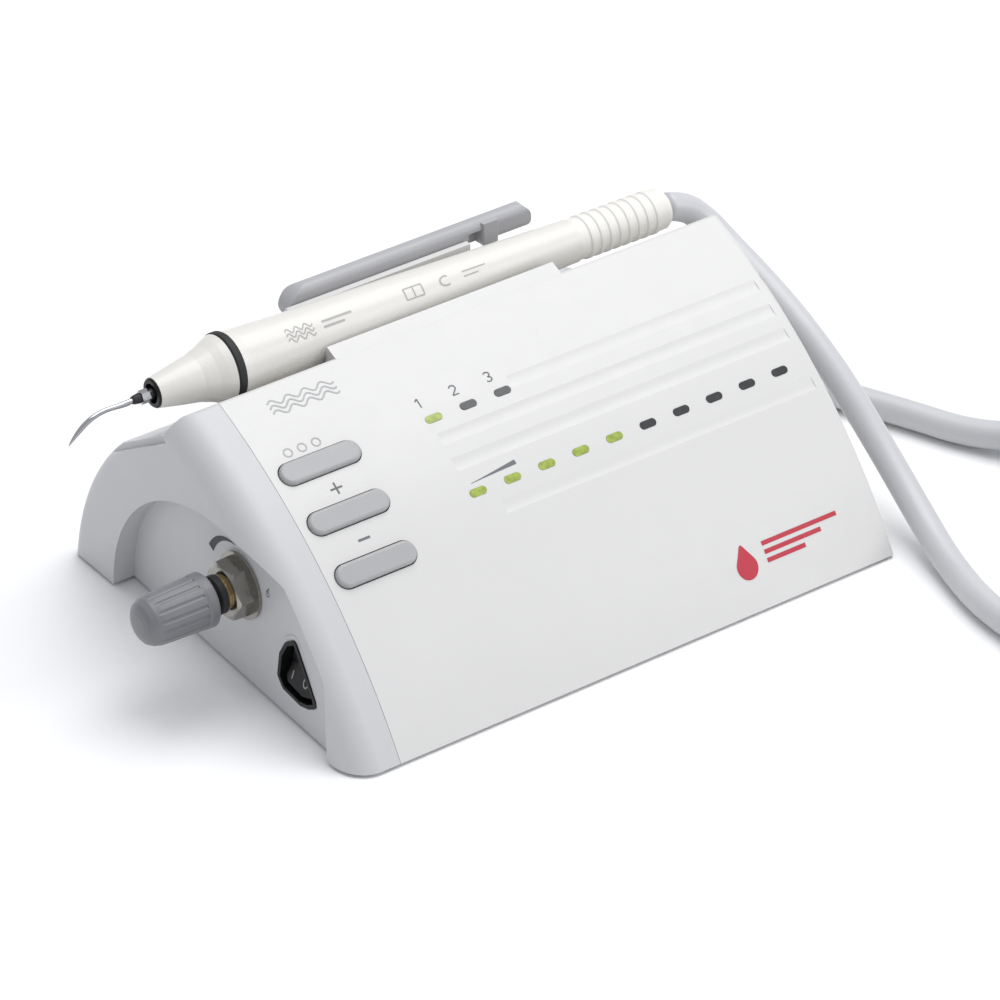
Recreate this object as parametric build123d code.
"""Table-top ultrasonic scaler: control unit, handpiece with tip, and one free hose.

Everything is built in the unit frame: X runs along the unit from its left end, Y runs from the
toe of the sloping panel to the back, Z is up from the table. Each node is moved on export so that
the origin is the centre of the footprint, at table height.
"""
import math
import os

from build123d import *

# ---- control unit ----
UNIT_LENGTH = 186.5
UNIT_DEPTH = 139.0
FOOT_LIFT = 1.0
WALL = 2.5
SEAM = 0.14
PANEL_RADIUS = 174.0
TOE = (0.0, FOOT_LIFT)
CREST = (85.0, 72.5)
GROOVE = (88.6, 65.0)
SHOULDER = (114.5, 48.6)
HEEL = (UNIT_DEPTH, FOOT_LIFT)
BACK_RADIUS = 84.0
CREST_ROUND = 1.8
GROOVE_ROUND = 2.5
FRONT_END_ROUND = 9.0
LEFT_END_ROUND = 4.0
RIGHT_END_ROUND = 1.6
CAP_LENGTH = 15.4
BACK_SEAM_Y = 118.0
RIM_START = 54.0
RIM_END = 131.0
RIM_REACH = 3.6

# ---- arched recess in the left end ----
RECESS_MIDDLE_Y = 65.0
RECESS_HALF_WIDTH = 52.5
RECESS_HEIGHT = 49.5
RECESS_DEPTH_FRONT = 2.6
RECESS_DEPTH_REAR = 7.2

# ---- keys and lamps on the panel ----
KEY_X = 31.2
KEY_ARCS = {"button_mode": 84.4, "button_up": 68.4, "button_down": 52.2}
KEY_LENGTH = 25.8
KEY_WIDTH = 6.8
KEY_GAP = 0.35
KEY_PROUD = 1.3
KEY_TRAVEL = 0.8
LAMP_LENGTH = 5.4
LAMP_WIDTH = 2.3
LAMP_PITCH = 11.64
POWER_ARC = 60.4
POWER_FIRST_X = 69.8
POWER_COUNT = 10
POWER_LIT = 5
MODE_ARC = 84.6
MODE_FIRST_X = 69.2
MODE_COUNT = 3
MODE_LIT = 1
PANEL_GROOVES = [(86.4, 96.0), (78.0, 67.4), (69.8, 67.2), (53.8, 75.0)]
PANEL_GROOVE_END = 183.0
PANEL_GROOVE_RADIUS = 10.0
PANEL_GROOVE_DEPTH = 0.22
BOARD_ARC = 70.0
BOARD_DROP = 9.0

# ---- water knob and rocker switch on the recess floor ----
KNOB_Y = 58.3
KNOB_Z = 31.6
KNOB_RADIUS = 7.9
KNOB_END_X = -29.5
KNOB_BACK_X = -7.6
KNOB_FLUTES = 16
PAD_X = 4.2
NUT_ACROSS_FLATS = 15.0
SWITCH_PAD_X = 3.4
SWITCH_OUTLINE = [
    (31.4, 28.8), (22.0, 13.6), (21.6, 11.6), (25.4, 9.4), (29.4, 8.4), (37.6, 9.4),
    (40.2, 12.6), (38.9, 20.6), (36.0, 25.6),
]
ROCKER_TILT = 6.0

# ---- handpiece, along its own axis from the nose face ----
HAND_START = (3.3, 98.0, 73.0)
HAND_DROOP = 0.667
HAND_LENGTH = 173.5
NOSE_PROFILE = [(0.0, 4.4), (7.7, 5.9), (13.0, 6.8), (17.0, 8.1), (19.5, 9.2), (21.6, 9.9)]
BARREL_PROFILE = [(24.4, 9.8), (27.0, 9.5), (44.0, 8.8), (80.0, 8.0), (124.0, 6.8), (141.0, 6.45)]
BAND_START = 21.7
BAND_END = 24.3
BAND_RADIUS = 10.2
TAIL_RADIUS = 6.1
TAIL_RINGS = 8
TIP_POINTS = [
    (-7.0, 0.0), (-14.2, 0.0), (-18.5, -0.5), (-21.4, -1.7), (-23.6, -3.2), (-25.7, -5.1),
    (-27.4, -7.0),
]
TIP_RADII = [0.75, 0.7, 0.72, 0.75, 0.7, 0.5, 0.12]
CRADLE_GAP = 0.35

# ---- hose ----
HOSE_DIAMETER = 8.5
COIL_MEAN_RADIUS = 47.0
COIL_SIZE = 17.0
COIL_CENTRE = (273.0, -40.0)
HOSE_FRONT = [
    (178.1, 98.0, 70.7), (184.8, 98.0, 69.2), (191.0, 95.6, 63.2), (193.4, 88.5, 58.0),
    (194.5, 76.0, 53.5), (196.0, 60.0, 46.5), (198.0, 42.0, 35.0), (199.0, 24.0, 21.0),
    (197.5, 4.0, 9.0), (191.5, -18.0, 4.4), (186.0, -42.0, 4.4), (188.0, -68.0, 4.4),
    (204.0, -88.0, 4.4), (229.0, -95.0, 4.4), (252.0, -93.5, 4.4), (270.0, -91.3, 4.4),
]
HOSE_BACK = [
    (276.0, 11.2, 12.6), (261.0, 12.6, 11.0), (248.5, 18.5, 7.0), (239.5, 33.0, 4.6),
    (233.0, 50.0, 4.4), (225.0, 67.0, 4.4), (216.0, 87.0, 4.4), (209.0, 109.0, 4.4),
    (207.0, 133.0, 4.4), (203.0, 157.0, 4.4), (192.0, 177.0, 4.8), (174.0, 186.0, 8.5),
    (157.5, 180.0, 14.0), (150.5, 167.0, 18.0), (150.0, 156.0, 19.0),
]
GLAND_X = 150.0
GLAND_Z = 19.0
POCKET_Y = 128.0
RELIEF_START_Y = 134.0
RELIEF_END_Y = 156.0

# ---- fittings in the back and fixings ----
JACK_X = 84.0
PEDAL_X = 106.0
INLET_X = 128.0
INLET_RADIUS = 3.0
CONNECTOR_HOLES = [(JACK_X, 5.6), (PEDAL_X, 6.6), (INLET_X, 4.6), (GLAND_X, 6.1)]
CASE_SCREWS = [(26.0, 17.0), (176.0, 17.0), (26.0, 124.0), (176.0, 124.0)]
BOARD_POSTS = [(52.0, 90.0), (176.0, 90.0), (52.0, 47.5), (176.0, 47.5)]
FEET = [(30.0, 30.0), (172.0, 30.0), (42.0, 112.0), (172.0, 112.0)]

# ---- driver board and what stands on it ----
MAIN_BOARD = ((42.0, 36.0, 9.5), (176.0, 112.0, 11.1))
BOARD_TOP = MAIN_BOARD[1][2]
STANDOFFS = [(46.0, 40.0), (172.0, 40.0), (46.0, 108.0), (172.0, 108.0)]

# ---- where the export origin lies in the unit frame ----
ORIGIN_X = (UNIT_LENGTH + KNOB_END_X) / 2
ORIGIN_Y = UNIT_DEPTH / 2


def arc_centre(start, end, radius):
    """Centre of an arc from start to end that lies to the right of the chord."""
    chord = math.dist(start, end)
    rise = math.sqrt(radius**2 - chord**2 / 4)
    mid_y = (start[0] + end[0]) / 2
    mid_z = (start[1] + end[1]) / 2
    return (mid_y + rise * (end[1] - start[1]) / chord, mid_z - rise * (end[0] - start[0]) / chord)


PANEL_CENTRE = arc_centre(TOE, CREST, PANEL_RADIUS)
BACK_CENTRE = arc_centre(SHOULDER, HEEL, BACK_RADIUS)
TOE_ANGLE = math.atan2(TOE[1] - PANEL_CENTRE[1], TOE[0] - PANEL_CENTRE[0])


def arc_middle(start, end, centre, radius):
    """Point half way along the arc from start to end."""
    mid_y = (start[0] + end[0]) / 2 - centre[0]
    mid_z = (start[1] + end[1]) / 2 - centre[1]
    scale = radius / math.hypot(mid_y, mid_z)
    return (centre[0] + mid_y * scale, centre[1] + mid_z * scale)


def panel_point(arc, lift=0.0):
    """(y, z) on the panel at a length of arc up from the toe, lifted off the surface."""
    angle = TOE_ANGLE - arc / PANEL_RADIUS
    reach = PANEL_RADIUS + lift
    return (PANEL_CENTRE[0] + reach * math.cos(angle), PANEL_CENTRE[1] + reach * math.sin(angle))


def panel_plane(x, arc, lift=0.0):
    """Plane tangent to the panel: local X along the unit, local Y up the slope, Z outward."""
    angle = TOE_ANGLE - arc / PANEL_RADIUS
    y, z = panel_point(arc, lift)
    return Plane(origin=(x, y, z), x_dir=(1, 0, 0), z_dir=(0, math.cos(angle), math.sin(angle)))


def box_between(low, high):
    """Box from its low corner to its high corner."""
    size = [high[i] - low[i] for i in range(3)]
    return Pos(*low) * Box(*size, align=(Align.MIN, Align.MIN, Align.MIN))


def rod(start, direction, radius, length):
    """Cylinder from a start point along a direction."""
    return Plane(origin=start, z_dir=direction) * Cylinder(
        radius, length, align=(Align.CENTER, Align.CENTER, Align.MIN)
    )


def pipe(points, radius, bend):
    """Round bar along straight runs with rounded corners."""
    path = FilletPolyline(*points, radius=bend)
    return sweep(Plane(origin=path @ 0, z_dir=path % 0) * Circle(radius), path=path)


def nearest_vertex(face, point):
    """Vertex of a flat face closest to a point of its own plane."""
    return face.vertices().sort_by_distance((point[0], point[1], 0))[0]


def unit_section(inset=0.0):
    """Closed section of the unit, drawn with Y and Z as local X and Y."""
    section = make_face(
        [
            ThreePointArc(TOE, arc_middle(TOE, CREST, PANEL_CENTRE, PANEL_RADIUS), CREST),
            Line(CREST, GROOVE),
            Line(GROOVE, SHOULDER),
            ThreePointArc(SHOULDER, arc_middle(SHOULDER, HEEL, BACK_CENTRE, BACK_RADIUS), HEEL),
            Line(HEEL, TOE),
        ]
    )
    if inset:
        return offset(section, amount=-inset, kind=Kind.INTERSECTION)
    section = fillet(nearest_vertex(section, CREST), CREST_ROUND)
    section = fillet(nearest_vertex(section, GROOVE), GROOVE_ROUND)
    return section


def end_disc(inset=0.0):
    """Disc about the panel's axis whose left edge gives the panel its rounded end."""
    radius = PANEL_RADIUS - inset
    half = Plane.XY * make_face(
        Polyline(
            (inset, 0), (inset, radius), (UNIT_LENGTH, radius), (UNIT_LENGTH, 0), close=True
        )
    )
    corner = half.vertices().sort_by_distance((inset, radius, 0))[0]
    half = fillet(corner, FRONT_END_ROUND - inset)
    disc = revolve(half, axis=Axis.X)
    return Pos(0, PANEL_CENTRE[0], PANEL_CENTRE[1]) * disc


def slope_corner():
    """Sharp edge to be taken off between the left end face and the flat top behind the crest."""
    run = Vector(0, SHOULDER[0] - GROOVE[0], SHOULDER[1] - GROOVE[1])
    corner = Plane(
        origin=(0, GROOVE[0], GROOVE[1]), x_dir=(1, 0, 0), z_dir=(0, run.Y, run.Z)
    )
    size = LEFT_END_ROUND
    square = Pos(size / 2 - 1, 1 - size / 2) * Rectangle(size + 2, size + 2)
    section = square - Pos(size, -size) * Circle(size) - Pos(size, 1 - size / 2) * Rectangle(size, 9)
    return extrude(corner * section, run.length + 6)


def outer_solid():
    """The whole unit as one solid, with both ends rounded."""
    body = extrude(Plane.YZ * unit_section(), UNIT_LENGTH)
    body = body & end_disc()
    back_edges = [
        e for e in body.edges() if e.center().X < 0.01 and e.center().Y > SHOULDER[0]
    ]
    body = fillet(back_edges, LEFT_END_ROUND) - slope_corner()
    right_edges = [
        e for e in body.edges()
        if e.center().X > UNIT_LENGTH - 0.01 and e.center().Z > FOOT_LIFT + 1
    ]
    return fillet(right_edges, RIGHT_END_ROUND)


def inner_solid(extra=0.0):
    """The room inside the shell, open at the bottom."""
    inset = WALL + extra
    room = extrude(Plane.YZ * unit_section(inset), UNIT_LENGTH - inset)
    room = room & box_between((inset, 0, 0), (UNIT_LENGTH, UNIT_DEPTH, 100))
    sill = box_between((inset, 5.5 + extra, 0), (UNIT_LENGTH - inset, 135.0 - extra, 4))
    return (room + sill) & end_disc(inset)


def recess_cutter(grow=0.0, deeper=0.0):
    """Half-elliptical recess of the left end, deeper at the rear than at the front."""
    outline = Pos(RECESS_MIDDLE_Y, 0) * Ellipse(RECESS_HALF_WIDTH + grow, RECESS_HEIGHT + grow)
    block = Pos(-5, 0, 0) * extrude(Plane.YZ * outline, 30)
    front = RECESS_DEPTH_FRONT + deeper
    rear = RECESS_DEPTH_REAR + deeper
    wedge = Plane.XY * make_face(Polyline((-6, 5), (front, 5), (rear, 125), (-6, 125), close=True))
    return block & extrude(wedge, 80)


def switch_outline():
    """Outline of the switch in the end face, straight along the panel's side."""
    outline = make_face(Polyline(*SWITCH_OUTLINE, close=True))
    return Plane.YZ * fillet(outline.vertices(), 1.6)


def make_end_cap(outer, room):
    """White end cap with its recess, knob pad and switch opening."""
    cap = outer & box_between((-1, -1, 0), (CAP_LENGTH - SEAM / 2, UNIT_DEPTH + 1, 100))
    cap = cap - (room - recess_cutter(grow=2.2, deeper=2.4))
    cap = cap - recess_cutter()
    cap = cap + rod((PAD_X, KNOB_Y, KNOB_Z), (1, 0, 0), 10.3, 5.0)
    switch_face = switch_outline()
    cap = cap + Pos(SWITCH_PAD_X, 0, 0) * extrude(offset(switch_face, amount=1.4), 3.0)
    cap = cap - Pos(-1, 0, 0) * extrude(switch_face, 20)
    cap = cap - rod((-1, KNOB_Y, KNOB_Z), (1, 0, 0), 5.05, 20)
    notch = rod((-1, BACK_SEAM_Y, 46.9), (1, 0, 0), 0.7, 20)
    return cap - notch


def rim_bar():
    """Raised middle stretch of the crest that reaches back over the handpiece rest."""
    reach = 113.2 + RIM_REACH
    section = make_face(
        Polyline(
            panel_point(106.0, -2.2), panel_point(106.0, 0.0), panel_point(reach, 0.0),
            (panel_point(reach)[0] + 0.5, 70.5), (89.6, 66.5), (87.0, 65.2), close=True
        )
    )
    bar = Pos(RIM_START, 0, 0) * extrude(Plane.YZ * section, RIM_END - RIM_START)
    return bar - hand_place(barrel_blank(CRADLE_GAP))


def key_hole(arc):
    """Opening for one key, through the panel."""
    hole = SlotOverall(KEY_LENGTH + 2 * KEY_GAP, KEY_WIDTH + 2 * KEY_GAP)
    return extrude(panel_plane(KEY_X, arc, -5) * hole, 10)


def lamp_places():
    """(x, arc, lit) of every lamp."""
    places = [(MODE_FIRST_X + i * LAMP_PITCH, MODE_ARC, i < MODE_LIT) for i in range(MODE_COUNT)]
    places += [
        (POWER_FIRST_X + i * LAMP_PITCH, POWER_ARC, i < POWER_LIT) for i in range(POWER_COUNT)
    ]
    return places


def make_top_cover(outer, room):
    """White cover: panel, crest, groove and right end wall."""
    cover = outer & box_between(
        (CAP_LENGTH + SEAM / 2, -1, 0), (UNIT_LENGTH + 1, BACK_SEAM_Y - SEAM / 2, 100)
    )
    cover = cover - room
    cover = cover + rim_bar()
    for arc, start in PANEL_GROOVES:
        line = panel_point(arc, PANEL_GROOVE_RADIUS - PANEL_GROOVE_DEPTH)
        cover = cover - rod((start, *line), (1, 0, 0), PANEL_GROOVE_RADIUS, PANEL_GROOVE_END - start)
    for arc in KEY_ARCS.values():
        cover = cover - key_hole(arc)
    for x, arc, _ in lamp_places():
        hole = SlotOverall(LAMP_LENGTH + 0.1, LAMP_WIDTH + 0.1)
        cover = cover - extrude(panel_plane(x, arc, -5) * hole, 10)
    for x, y in CASE_SCREWS[:2]:
        post = rod((x, y, 3.8), (0, 0, 1), 4.0, 60) & room
        cover = cover + (post - rod((x, y, 3), (0, 0, 1), 1.25, 14))
    for x, arc in BOARD_POSTS:
        post = extrude(panel_plane(x, arc, -7.3) * Circle(3.0), 5.1)
        cover = cover + (post - board_blank(0.0))
    return cover


def make_back_shell(outer, room):
    """White rear wall with the recessed connector pocket."""
    shell = outer & box_between(
        (CAP_LENGTH + SEAM / 2, BACK_SEAM_Y + SEAM / 2, 0), (UNIT_LENGTH + 1, UNIT_DEPTH + 1, 100)
    )
    pocket_wall = box_between((66, POCKET_Y - 2.2, 5), (174, UNIT_DEPTH, 37)) & outer
    shell = (shell - room) + pocket_wall
    shell = shell - box_between((68.2, POCKET_Y, 7.2), (171.8, UNIT_DEPTH + 5, 34.8))
    for x, radius in CONNECTOR_HOLES:
        shell = shell - rod((x, POCKET_Y - 5, GLAND_Z), (0, 1, 0), radius, 10)
    for x, y in CASE_SCREWS[2:]:
        post = rod((x, y, 3.8), (0, 0, 1), 4.0, 60) & room
        shell = shell + (post - rod((x, y, 3), (0, 0, 1), 1.25, 14))
    return shell


def make_base_plate(plate_room):
    """Bottom plate with vents, screw holes and foot sockets."""
    plate = plate_room & box_between((CAP_LENGTH + 2.6, 0, FOOT_LIFT), (UNIT_LENGTH, UNIT_DEPTH, 3.5))
    for row in range(3):
        for i in range(9):
            slot = Pos(70 + i * 10, 50 + row * 18, 0) * Rot(0, 0, 90) * SlotOverall(14, 3)
            plate = plate - extrude(slot, 5)
    for x, y in FEET:
        plate = plate - rod((x, y, 0), (0, 0, 1), 7.0, 2.0)
    for x, y in CASE_SCREWS:
        plate = plate - rod((x, y, 0), (0, 0, 1), 1.7, 5)
        plate = plate - rod((x, y, 0), (0, 0, 1), 3.1, 2.4)
    return plate


def make_feet():
    """Four round rubber feet in their sockets."""
    pads = []
    for x, y in FEET:
        pad = rod((x, y, 0), (0, 0, 1), 6.9, 2.0)
        pads.append(chamfer(pad.edges().sort_by(Axis.Z)[0], 0.3))
    return Compound(pads)


def make_case_screws():
    """Countersunk base screws with a slot in the head."""
    screws = []
    for x, y in CASE_SCREWS:
        screw = rod((x, y, 1.3), (0, 0, 1), 2.9, 1.1) + rod((x, y, 2.4), (0, 0, 1), 1.25, 12)
        screws.append(screw - box_between((x - 2, y - 0.3, 1), (x + 2, y + 0.3, 1.9)))
    return screws


def hand_place(shape):
    """Move a shape drawn along +X from the nose face onto the handpiece's axis."""
    return Pos(*HAND_START) * Rot(0, HAND_DROOP, 0) * shape


def turned(points):
    """Body of revolution about local X from (x, r) points, closed along the axis."""
    outline = [(points[0][0], 0.0), *points, (points[-1][0], 0.0)]
    return revolve(make_face(Polyline(*outline, close=True)), axis=Axis.X)


def barrel_blank(grow):
    """Outer shape of the whole handpiece, grown all round."""
    points = NOSE_PROFILE + [(BAND_START, BAND_RADIUS), (BAND_END, BAND_RADIUS)]
    points = points + BARREL_PROFILE + [(HAND_LENGTH, 6.5)]
    return turned([(x, r + grow) for x, r in points])


def make_cradle(outer):
    """White saddle and rear lip that hold the handpiece."""
    section = make_face(
        Polyline(
            (88.75, 64.85), (90.2, 66.4), (91.2, 72.0), (106.6, 76.0), (109.8, 76.0),
            (109.8, 51.7), close=True
        )
    )
    section = fillet(nearest_vertex(section, (109.8, 76.0)), 1.2)
    saddle = Pos(RIM_START + 0.5, 0, 0) * extrude(Plane.YZ * section, RIM_END - RIM_START - 1)
    saddle = saddle - hand_place(barrel_blank(CRADLE_GAP)) - outer - rim_bar()
    saddle = saddle - box_between((0, 90, 70.5), (200, 107.0, 90))
    saddle = saddle - box_between((116, 100, 66.0), (140, 120, 90))
    return saddle


def make_rail():
    """Grey rail clipped behind the rear lip, with a latch slot and a rib near its right end."""
    section = RectangleRounded(5.5, 7.5, 2.3)
    bar = Pos(56.0, 112.75, 75.75) * extrude(Plane.YZ * section, 83.5)
    side = make_face(Polyline((56.0, 71.0), (56.0, 79.5), (139.5, 79.5), (139.5, 71.0), close=True))
    side = fillet(nearest_vertex(side, (56.0, 79.5)), 7.0)
    side = fillet(nearest_vertex(side, (139.5, 79.5)), 4.1)
    side = fillet(nearest_vertex(side, (139.5, 71.0)), 4.0)
    rail = bar & Pos(0, 105, 0) * extrude(Plane.XZ * side, -20)
    rail = rail - box_between((117.5, 108, 71), (122.0, 113.0, 77.0))
    rib = box_between((122.2, 109.3, 72.0), (127.6, 112.0, 79.0))
    rail = rail + fillet(rib.edges().filter_by(Axis.Z), 0.6)
    for x in (64.0, 110.0):
        rail = rail + box_between((x - 2, 109.8, 56), (x + 2, 113, 73))
    return rail


def make_key(arc):
    """Pill-shaped key with its retaining flange and stem."""
    plane = panel_plane(KEY_X, arc)
    cap = extrude(panel_plane(KEY_X, arc, -3.1) * SlotOverall(KEY_LENGTH, KEY_WIDTH), 3.1 + KEY_PROUD)
    top = cap.faces().sort_by(lambda f: (f.center() - plane.origin).dot(plane.z_dir))[-1]
    cap = fillet(top.edges(), 1.0)
    flange = extrude(panel_plane(KEY_X, arc, -4.1) * SlotOverall(KEY_LENGTH + 3, KEY_WIDTH + 2.6), 1.0)
    stem = extrude(panel_plane(KEY_X, arc, -4.9) * Circle(2.0), 1.0)
    return cap + flange + stem


def board_blank(grow):
    """Flat control board under the panel."""
    board = Box(152 + grow, 50 + grow, 1.6 + grow)
    plane = panel_plane(105.0, BOARD_ARC, -BOARD_DROP)
    return plane * board


def make_key_switches():
    """Small push switches under the keys."""
    switches = []
    for arc in KEY_ARCS.values():
        body = extrude(panel_plane(KEY_X, arc, -9.6) * Rectangle(6, 6), 2.7)
        body = body + extrude(panel_plane(KEY_X, arc, -7.0) * Circle(1.7), 1.0)
        switches.append(body - board_blank(0.0))
    return Compound(switches)


def make_lenses(wanted):
    """Lenses of the lit or the dark lamps."""
    lenses = []
    for x, arc, lit in lamp_places():
        if lit == wanted:
            lens = extrude(panel_plane(x, arc, -3.2) * SlotOverall(LAMP_LENGTH, LAMP_WIDTH), 3.35)
            lenses.append(lens)
    return Compound(lenses)


def make_leds():
    """Light-emitting diodes on the control board, under the lenses."""
    leds = []
    for x, arc, _ in lamp_places():
        led = extrude(panel_plane(x, arc, -8.8) * Rectangle(3.2, 1.6), 2.2)
        leds.append(led - board_blank(0.0))
    return Compound(leds)


def make_board_screws():
    """Screws that hold the control board to the cover's posts."""
    screws = []
    for x, arc in BOARD_POSTS:
        head = extrude(panel_plane(x, arc, -12.2) * Circle(2.4), 2.0)
        screws.append(head - board_blank(0.0))
    return screws


def make_ribbon():
    """Flat cable from the control board down to the driver board."""
    line = FilletPolyline((34.6, 30.2), (44.0, 26.0), (58.0, 20.0), (58.0, 13.9), radius=3.0)
    strip = trace(line, 0.9)
    return Pos(110, 0, 0) * extrude(Plane.YZ * strip, 26)


def make_knob():
    """Grey fluted water knob with a domed end."""
    length = KNOB_BACK_X - KNOB_END_X
    core = turned(
        [
            (KNOB_END_X, 1.0), (KNOB_END_X + 0.15, 3.0), (KNOB_END_X + 0.6, 4.6),
            (KNOB_END_X + 1.5, 5.9), (KNOB_END_X + 3.0, 6.8), (KNOB_END_X + 5.0, 7.25),
            (KNOB_END_X + 8.0, 7.4), (KNOB_BACK_X - 3.4, 7.7), (KNOB_BACK_X - 2.6, KNOB_RADIUS),
            (KNOB_BACK_X - 0.4, KNOB_RADIUS), (KNOB_BACK_X, 7.5),
        ]
    )
    knob = core
    for i in range(KNOB_FLUTES):
        angle = math.radians(i * 360 / KNOB_FLUTES)
        y = 8.15 * math.cos(angle)
        z = 8.15 * math.sin(angle)
        start = (KNOB_END_X - 1, y * 0.93, z * 0.93)
        heading = (1, y * 0.0045, z * 0.0045)
        knob = knob - rod(start, heading, 0.85, length - 2.6)
    knob = Pos(0, KNOB_Y, KNOB_Z) * knob
    return knob - rod((KNOB_END_X + 10, KNOB_Y, KNOB_Z), (1, 0, 0), 3.0, length)


def make_valve_parts():
    """Needle valve: stem, nut, washer, seal ring and brass body."""
    centre = (KNOB_Y, KNOB_Z)
    stem = rod((KNOB_END_X + 10, *centre), (1, 0, 0), 3.0, 32.0)
    stem = stem + rod((KNOB_END_X + 42, *centre), (1, 0, 0), 1.6, 6.0)
    nut = Plane.YZ * RegularPolygon(NUT_ACROSS_FLATS / 2, 6, major_radius=False)
    nut = Pos(PAD_X - 6.4, *centre) * extrude(nut, 5.4)
    nut = nut & Pos(0, *centre) * turned([(PAD_X - 6.4, 7.2), (PAD_X - 5.6, 8.4), (PAD_X - 1.0, 8.7)])
    nut = nut - rod((-5, *centre), (1, 0, 0), 5.02, 12)
    washer = rod((PAD_X - 1.0, *centre), (1, 0, 0), 9.9, 1.0) - rod((0, *centre), (1, 0, 0), 5.02, 8)
    body = rod((PAD_X - 7.4, *centre), (1, 0, 0), 5.0, 16.4)
    body = body + rod((PAD_X + 5.0, *centre), (1, 0, 0), 8.0, 20.0)
    body = body - rod((-10, *centre), (1, 0, 0), 3.05, 22.8)
    body = body - rod((-10, *centre), (1, 0, 0), 1.8, 30.0)
    ring = rod((PAD_X - 9.6, *centre), (1, 0, 0), 5.6, 2.0) - rod((-20, *centre), (1, 0, 0), 3.4, 30)
    return stem, nut, washer, body, ring


def make_switch():
    """Housing and rocker of the mains switch."""
    face = switch_outline()
    frame = Pos(SWITCH_PAD_X - 0.5, 0, 0) * extrude(offset(face, amount=-0.05), 12)
    frame = frame - Pos(SWITCH_PAD_X - 2, 0, 0) * extrude(offset(face, amount=-1.3), 11)
    middle = (30.6, 18.0)
    top = Polyline((-1.2, 9.4), (1.1, 0.0), (-1.2, -9.4), (6.4, -4.5), (6.4, 4.5), close=True)
    wedge = Plane.XZ * make_face(top)
    rocker = Pos(SWITCH_PAD_X + 1.6, middle[0] + 15, middle[1]) * extrude(wedge, 30)
    keep = Pos(SWITCH_PAD_X - 5, 0, 0) * extrude(offset(face, amount=-2.3), 18)
    rocker = rocker & keep
    pivot = Axis((SWITCH_PAD_X + 6.0, middle[0], middle[1]), (0, 1, 0))
    rocker = rocker.rotate(pivot, ROCKER_TILT)
    pin = rod((SWITCH_PAD_X + 6.0, middle[0] - 8.6, middle[1]), (0, 1, 0), 1.0, 17.2)
    seat = rod((SWITCH_PAD_X + 6.0, middle[0] - 12, middle[1]), (0, 1, 0), 1.06, 24)
    return frame - seat, rocker + pin


def make_handpiece():
    """Nose, ring, band, barrel and ribbed tail."""
    nose = turned(NOSE_PROFILE)
    nose = nose - turned([(-1, 3.5), (6.0, 3.5), (10.0, 5.2), (22.0, 5.2)])
    ring = turned([(-0.7, 3.9), (-0.3, 4.25), (0.0, 4.25), (0.0, 3.5), (3.0, 3.5)])
    ring = ring - turned([(-1, 2.9), (4, 2.9)])
    band = turned(
        [
            (BAND_START, 9.7), (BAND_START + 0.5, BAND_RADIUS),
            (BAND_END - 0.5, BAND_RADIUS), (BAND_END, 9.7),
        ]
    )
    band = band - turned([(10, 7.6), (30, 7.6)])
    barrel = turned(BARREL_PROFILE + [(141.0, 4.3)])
    barrel = barrel + (turned([(21.7, 7.5), (24.4, 7.5)]))
    barrel = barrel - turned([(20, 5.2), (30, 5.2), (30, 7.0), (82, 7.0), (82, 5.0), (150, 5.0)])
    tail = turned(
        [(141.0, TAIL_RADIUS), (HAND_LENGTH - 1.0, TAIL_RADIUS), (HAND_LENGTH, TAIL_RADIUS - 0.6)]
    )
    for i in range(TAIL_RINGS):
        start = 144.0 + i * 3.3
        tail = tail + turned([(start, 6.0), (start + 0.5, 6.5), (start + 1.7, 6.5), (start + 2.2, 6.0)])
    tail = tail - turned([(130, 4.4), (HAND_LENGTH - 6.0, 4.4)])
    tail = tail - turned([(130, 2.2), (HAND_LENGTH + 5, 2.2)])
    return nose, ring, band, barrel, tail


def make_hand_core():
    """Horn, piezo stack, rear mass, sleeve and water tube inside the handpiece."""
    horn = turned([(-4.0, 0.9), (-1.4, 0.9), (-1.4, 1.6), (3.0, 1.6), (3.2, 2.5), (8.0, 2.5),
                   (14.0, 4.0), (38.0, 5.0)])
    horn = horn - turned([(-5, 0.4), (40, 0.4)])
    discs = [turned([(38.0 + i * 4.0, 5.9), (41.6 + i * 4.0, 5.9)]) for i in range(4)]
    plates = [turned([(41.6 + i * 4.0, 6.1), (42.0 + i * 4.0, 6.1)]) for i in range(4)]
    mass = turned([(54.0, 6.0), (76.0, 6.0)])
    sleeve = turned([(34.0, 6.8), (80.0, 6.8)]) - turned([(30, 6.3), (90, 6.3)])
    tube = turned([(76.0, 1.5), (HAND_LENGTH - 6.0, 1.5)]) - turned([(70, 0.8), (HAND_LENGTH, 0.8)])
    return horn, discs, plates, mass, sleeve, tube


def make_tip():
    """Steel tip: hexagonal hub, collar, shank and curved blade."""
    hub = Plane.YZ * RegularPolygon(1.75, 6, major_radius=False)
    hub = Pos(-4.4, 0, 0) * extrude(hub, 2.7) - turned([(-4.2, 0.96), (0, 0.96)])
    collar = turned([(-7.0, 1.0), (-6.4, 1.25), (-5.0, 1.45), (-4.4, 1.45)])
    sections = []
    for i, (x, z) in enumerate(TIP_POINTS):
        before = TIP_POINTS[max(i - 1, 0)]
        after = TIP_POINTS[min(i + 1, len(TIP_POINTS) - 1)]
        heading = (after[0] - before[0], 0, after[1] - before[1])
        plane = Plane(origin=(x, 0, z), x_dir=(0, 1, 0), z_dir=heading)
        sections.append(plane * Circle(TIP_RADII[i]))
    blade = loft(sections)
    return hub, collar, blade


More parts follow.
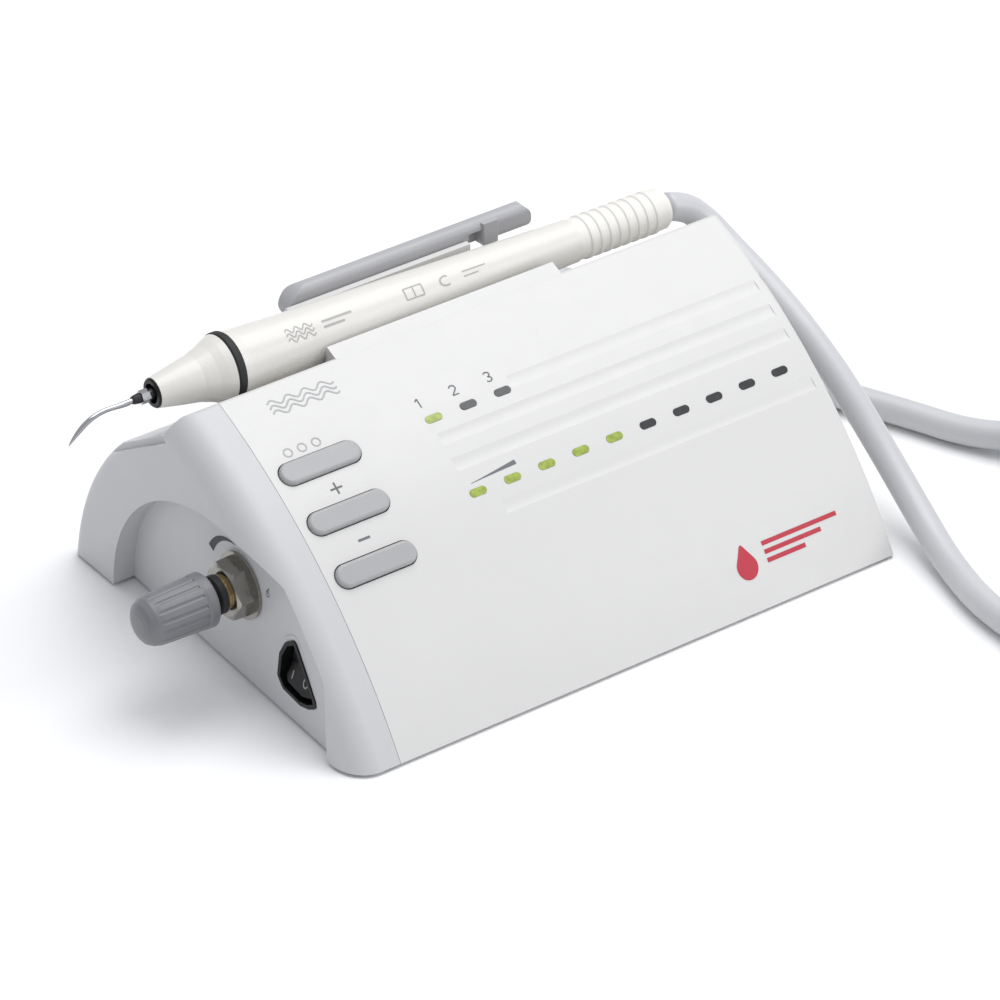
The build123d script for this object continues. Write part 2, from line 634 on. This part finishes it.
def polyline_radii(points):
    """Radius of each corner's arc: 0.45 of the shorter run over the tangent of half the turn."""
    radii = []
    for before, here, after in zip(points, points[1:], points[2:]):
        first = Vector(*here) - Vector(*before)
        second = Vector(*after) - Vector(*here)
        turn = math.radians(first.get_angle(second))
        radii.append(0.45 * min(first.length, second.length) / math.tan(turn / 2))
    return radii


def hose_tube(name, points):
    """Round tube along one uncoiled stretch of the hose."""
    radii = polyline_radii(points)
    path = FilletPolyline(*points, radius=radii)
    tube = sweep(Plane(origin=path @ 0, z_dir=path % 0) * Circle(HOSE_DIAMETER / 2), path=path)
    expected = math.pi * HOSE_DIAMETER**2 / 4 * path.length
    print(name, "length", round(path.length, 1), "volume ratio", round(tube.volume / expected, 4))
    print(name, "radii in diameters", [round(r / HOSE_DIAMETER, 1) for r in radii])
    return tube


def make_main_board():
    """Driver board with holes for its posts."""
    board = box_between(*MAIN_BOARD)
    for x, y in STANDOFFS:
        board = board - rod((x, y, 0), (0, 0, 1), 1.6, 20)
    return board


def make_standoffs():
    """Posts between the base plate and the driver board, with their screws."""
    posts = []
    for x, y in STANDOFFS:
        post = rod((x, y, 3.5), (0, 0, 1), 3.0, 6.0) + rod((x, y, 9.0), (0, 0, 1), 1.5, 2.2)
        posts.append(post + rod((x, y, BOARD_TOP + 0.05), (0, 0, 1), 2.6, 1.6))
    return Compound(posts)


def make_transformer():
    """Closed ferrite core with a wound middle leg."""
    low = (62.0, 60.0, BOARD_TOP)
    core = box_between(low, (92.0, 84.0, 37.0))
    core = core - box_between((67.0, 55.0, 17.0), (74.5, 90.0, 31.0))
    core = core - box_between((79.5, 55.0, 17.0), (87.0, 90.0, 31.0))
    coil = box_between((68.0, 57.0, 17.5), (86.0, 87.0, 30.5))
    coil = fillet(coil.edges().filter_by(Axis.Z), 4.0)
    coil = coil - box_between((74.4, 59.9, 17.0), (79.6, 84.1, 31.0))
    return core, coil


def make_heat_sink():
    """Finned aluminium block beside the power transistors."""
    sink = box_between((102.0, 66.0, BOARD_TOP), (142.0, 70.0, 36.0))
    for i in range(9):
        x = 102.0 + i * 4.8
        sink = sink + box_between((x, 70.0, BOARD_TOP), (x + 1.6, 84.0, 36.0))
    return sink


def make_transistors():
    """Three flat power transistors standing against the heat sink."""
    cases = []
    for x in (107.0, 121.0, 135.0):
        cases.append(box_between((x - 4.5, 61.6, 16.0), (x + 4.5, 65.9, 31.0)))
        for leg in (-2.5, 0.0, 2.5):
            cases.append(box_between((x + leg - 0.4, 63.0, BOARD_TOP), (x + leg + 0.4, 63.6, 15.98)))
    return Compound(cases)


def make_capacitors():
    """Upright round capacitors on the driver board."""
    places = [(154.0, 66.0, 6.0, 22.0), (168.0, 66.0, 5.0, 18.0), (154.0, 82.0, 5.0, 18.0)]
    return [rod((x, y, BOARD_TOP), (0, 0, 1), r, h) for x, y, r, h in places]


def make_board_parts():
    """Relay and controller chip on the driver board."""
    relay = box_between((150.0, 94.0, BOARD_TOP), (168.0, 106.0, 26.0))
    chip = box_between((104.0, 92.0, BOARD_TOP), (122.0, 104.0, BOARD_TOP + 2.2))
    return [relay, chip]


def make_water_line():
    """Filter, solenoid body, solenoid coil and the inner tubes that join them."""
    water_filter = rod((29.0, 84.0, 3.5), (0, 0, 1), 7.0, 26.0)
    solenoid = box_between((21.0, 97.0, 3.5), (37.0, 111.0, 15.0))
    coil = rod((29.0, 104.0, 15.0), (0, 0, 1), 7.2, 18.0)
    tubes = [
        pipe([(29.0, 111.0, 9.0), (29.0, 119.5, 9.0), (INLET_X, 119.5, 9.0), (INLET_X, 119.5, 19.0),
              (INLET_X, 123.0, 19.0)], 2.0, 1.7),
        rod((29.0, 91.05, 9.0), (0, 1, 0), 2.0, 5.95),
        pipe([(29.0, 76.95, 18.0), (29.0, 66.0, 18.0), (24.0, 66.0, 18.0), (24.0, 58.3, 18.0),
              (24.0, 58.3, 23.5)], 2.0, 2.3),
        pipe([(29.25, 58.3, 31.6), (39.0, 58.3, 31.6), (39.0, 114.5, 31.6), (GLAND_X, 114.5, 31.6),
              (GLAND_X, 114.5, 19.0), (GLAND_X, 121.0, 19.0)], 2.0, 3.0),
    ]
    return water_filter, solenoid, coil, Compound(tubes)


def make_back_fittings():
    """Power jack, pedal socket, water inlet, hose gland and strain relief."""
    jack = rod((JACK_X, POCKET_Y - 6, GLAND_Z), (0, 1, 0), 5.5, 8.0)
    jack = jack + rod((JACK_X, POCKET_Y, GLAND_Z), (0, 1, 0), 7.0, 3.0)
    jack = jack - rod((JACK_X, POCKET_Y - 4, GLAND_Z), (0, 1, 0), 3.0, 12)
    jack = jack + rod((JACK_X, POCKET_Y - 5, GLAND_Z), (0, 1, 0), 1.0, 6.5)
    pedal = rod((PEDAL_X, POCKET_Y - 6, GLAND_Z), (0, 1, 0), 6.5, 8.0)
    pedal = pedal + rod((PEDAL_X, POCKET_Y, GLAND_Z), (0, 1, 0), 8.5, 4.0)
    pedal = pedal - rod((PEDAL_X, POCKET_Y - 2, GLAND_Z), (0, 1, 0), 5.2, 12)
    for i in range(4):
        angle = math.radians(45 + i * 90)
        pin = (PEDAL_X + 2.6 * math.cos(angle), POCKET_Y - 2.5, GLAND_Z + 2.6 * math.sin(angle))
        pedal = pedal + rod(pin, (0, 1, 0), 0.6, 4.5)
    inlet = rod((INLET_X, POCKET_Y - 5, GLAND_Z), (0, 1, 0), 4.5, 5.0)
    inlet = inlet + rod((INLET_X, POCKET_Y, GLAND_Z), (0, 1, 0), 3.5, 3.4)
    inlet = inlet + rod((INLET_X, POCKET_Y, GLAND_Z), (0, 1, 0), INLET_RADIUS, 10.8)
    inlet = inlet - rod((INLET_X, POCKET_Y - 6, GLAND_Z), (0, 1, 0), 1.5, 20)
    hexagon = Plane(origin=(INLET_X, POCKET_Y, GLAND_Z), z_dir=(0, 1, 0)) * RegularPolygon(
        6.0, 6, major_radius=False
    )
    nut = extrude(hexagon, 3.0) - rod((INLET_X, POCKET_Y - 1, GLAND_Z), (0, 1, 0), 3.52, 6)
    gland = rod((GLAND_X, POCKET_Y - 7, GLAND_Z), (0, 1, 0), 6.0, 8.0)
    gland = gland + rod((GLAND_X, POCKET_Y, GLAND_Z), (0, 1, 0), 8.6, RELIEF_START_Y - POCKET_Y)
    relief = Plane(origin=(GLAND_X, RELIEF_START_Y, GLAND_Z), z_dir=(0, 1, 0)) * Cone(
        6.4, 4.9, RELIEF_END_Y - RELIEF_START_Y, align=(Align.CENTER, Align.CENTER, Align.MIN)
    )
    return jack, pedal, inlet, nut, gland, relief


def make_coil():
    """Closed outer shape of the put-away turns of hose."""
    section = Pos(COIL_MEAN_RADIUS, COIL_SIZE / 2 + 0.1) * RectangleRounded(COIL_SIZE, COIL_SIZE, 4.0)
    ring = revolve(Plane.XZ * section, axis=Axis.Z)
    return Pos(COIL_CENTRE[0], COIL_CENTRE[1], 0) * ring


def export_nodes(nodes):
    """Move every node to the export origin and write it."""
    os.makedirs("parts", exist_ok=True)
    for name, shape in nodes.items():
        moved = Pos(-ORIGIN_X, -ORIGIN_Y, 0) * shape
        export_step(moved, "parts/" + name + ".step")
        print(name, "volume", round(shape.volume, 1), "solids", len(shape.solids()))


def main():
    """Build every node and export it."""
    outer = outer_solid()
    room = inner_solid()
    nodes = {}
    nodes["left_end_cap"] = make_end_cap(outer, room)
    nodes["top_cover"] = make_top_cover(outer, room)
    nodes["back_shell"] = make_back_shell(outer, room)
    nodes["base_plate"] = make_base_plate(inner_solid(0.3))
    nodes["rubber_feet"] = make_feet()
    nodes["cradle"] = make_cradle(outer)
    nodes["rest_rail"] = make_rail()
    for name, arc in KEY_ARCS.items():
        nodes[name] = make_key(arc)
    nodes["control_board"] = board_blank(0.0)
    nodes["fixing_screws"] = Compound(make_case_screws() + make_board_screws())
    nodes["key_switches"] = make_key_switches()
    nodes["led_lenses_lit"] = make_lenses(True)
    nodes["led_lenses_dark"] = make_lenses(False)
    nodes["leds"] = make_leds()
    nodes["ribbon_cable"] = make_ribbon()
    nodes["water_knob"] = make_knob()
    stem, nut, washer, body, ring = make_valve_parts()
    nodes["valve_stem"] = stem
    nodes["valve_nut"] = nut
    nodes["valve_washer"] = washer
    nodes["valve_body"] = body
    nodes["knob_seal"] = ring
    nodes["switch_housing"], nodes["switch_rocker"] = make_switch()
    names = ["nose_cone", "nose_ring", "o_ring", "barrel", "tail_boot"]
    for name, shape in zip(names, make_handpiece()):
        nodes[name] = hand_place(shape)
    horn, discs, plates, mass, sleeve, tube = make_hand_core()
    nodes["horn"] = hand_place(horn)
    nodes["piezo_discs"] = Compound([hand_place(d) for d in discs])
    nodes["piezo_electrodes"] = Compound([hand_place(p) for p in plates])
    nodes["rear_mass"] = hand_place(mass)
    nodes["inner_sleeve"] = hand_place(sleeve)
    nodes["hand_water_tube"] = hand_place(tube)
    hub, collar, blade = make_tip()
    nodes["tip_hub"] = hand_place(hub)
    nodes["tip_collar"] = hand_place(collar)
    nodes["tip_blade"] = hand_place(blade)
    nodes["main_board"] = make_main_board()
    nodes["standoffs"] = make_standoffs()
    nodes["transformer_core"], nodes["transformer_winding"] = make_transformer()
    nodes["heat_sink"] = make_heat_sink()
    nodes["power_transistors"] = make_transistors()
    nodes["board_components"] = Compound(make_capacitors() + make_board_parts())
    names = ["water_filter", "solenoid_body", "solenoid_coil", "water_tubes"]
    for name, shape in zip(names, make_water_line()):
        nodes[name] = shape
    names = ["power_jack", "pedal_socket", "water_inlet", "inlet_nut", "hose_gland", "strain_relief"]
    for name, shape in zip(names, make_back_fittings()):
        nodes[name] = shape
    nodes["hose_front"] = hose_tube("hose_front", HOSE_FRONT)
    nodes["hose_back"] = hose_tube("hose_back", HOSE_BACK)
    nodes["hose_coil"] = make_coil()
    export_nodes(nodes)


main()
